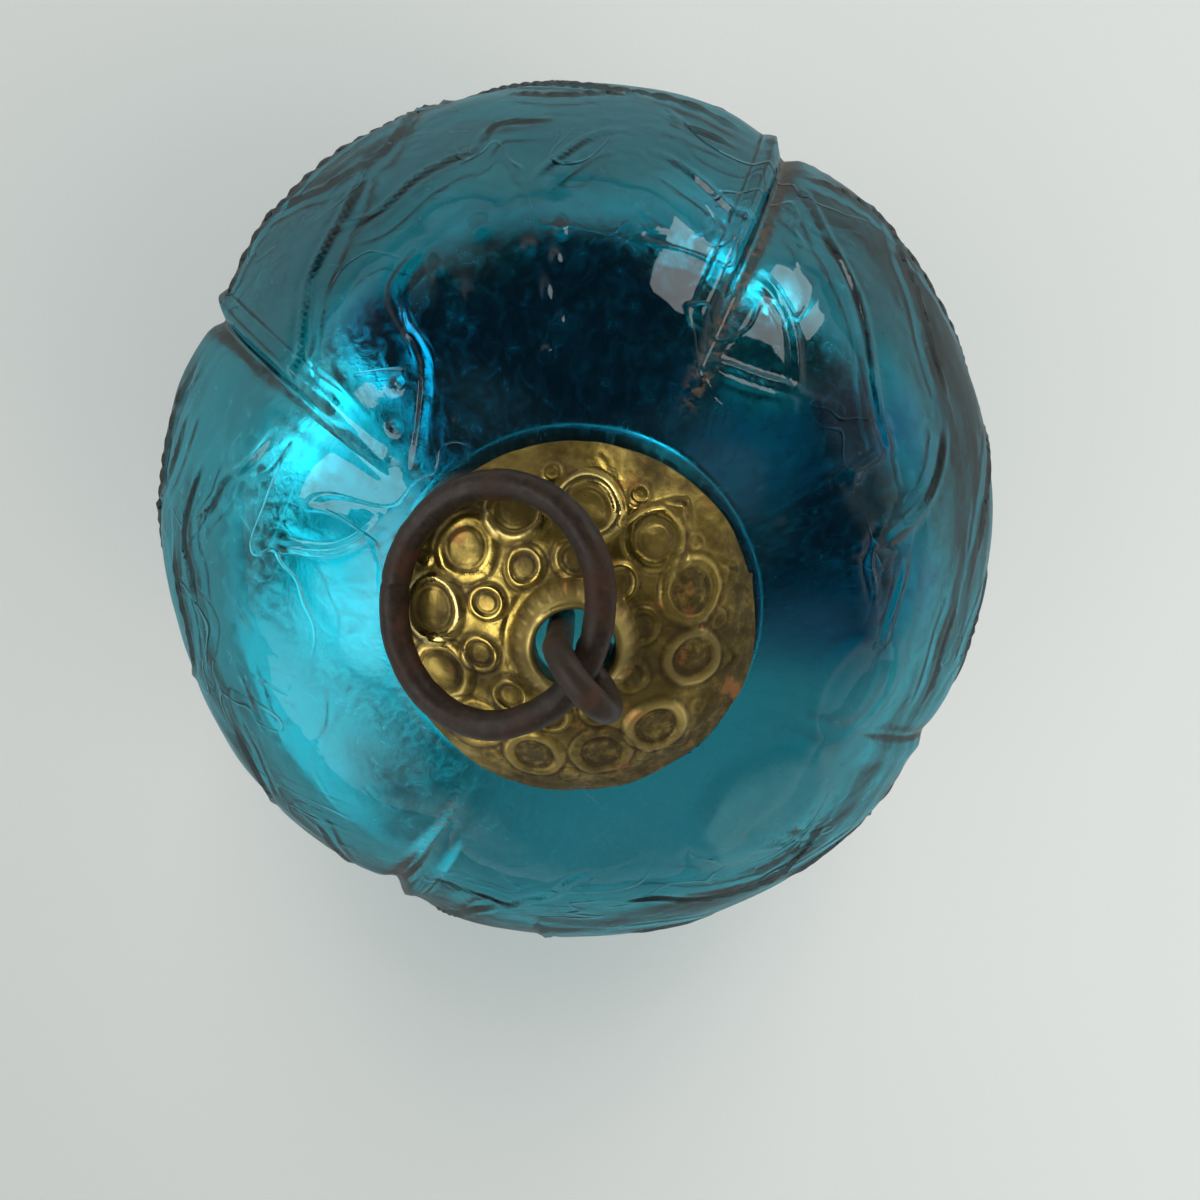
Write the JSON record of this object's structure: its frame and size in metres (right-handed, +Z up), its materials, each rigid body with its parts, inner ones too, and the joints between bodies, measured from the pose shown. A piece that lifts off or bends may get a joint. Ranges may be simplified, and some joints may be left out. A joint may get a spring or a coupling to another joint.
{
  "type": "glass ball ornament",
  "caption": "Hollow teal glass ball with four moulded leaves, an embossed brass cap, and an iron wire eye that carries a loose ring for hanging.",
  "frame": {"origin": "centre of the ground flat under the globe", "axes": "+Z up along the axis of the globe and its neck, and the ring lies down towards -X and +Y"},
  "size_m": [0.1, 0.1, 0.1124],
  "materials": {
    "teal_glass": "gloss",
    "aged_brass": "aged",
    "rusted_wire": "rusted",
    "rusted_ring": "rusted"
  },
  "bodies": {
    "globe": {"glass_globe": "teal_glass"},
    "cap": {"brass_cap": "aged_brass"},
    "hanger": {"hanger": "rusted_wire"},
    "ring": {"ring": "rusted_ring"}
  },
  "joints": [
    {"name": "cap_turn", "type": "hinge", "parent": "globe", "child": "cap", "pos_m": [0, 0, 0.0972], "axis": [0, 0, 1], "continuous": true},
    {"name": "hanger_swivel", "type": "hinge", "parent": "globe", "child": "hanger", "pos_m": [0, 0, 0.105], "axis": [0, 0, 1], "continuous": true},
    {"name": "ring_swing", "type": "hinge", "parent": "hanger", "child": "ring", "pos_m": [0.00048, -0.00057, 0.10818], "axis": [0.5, 0.866, 0], "range_deg": [0, 240]}
  ]
}
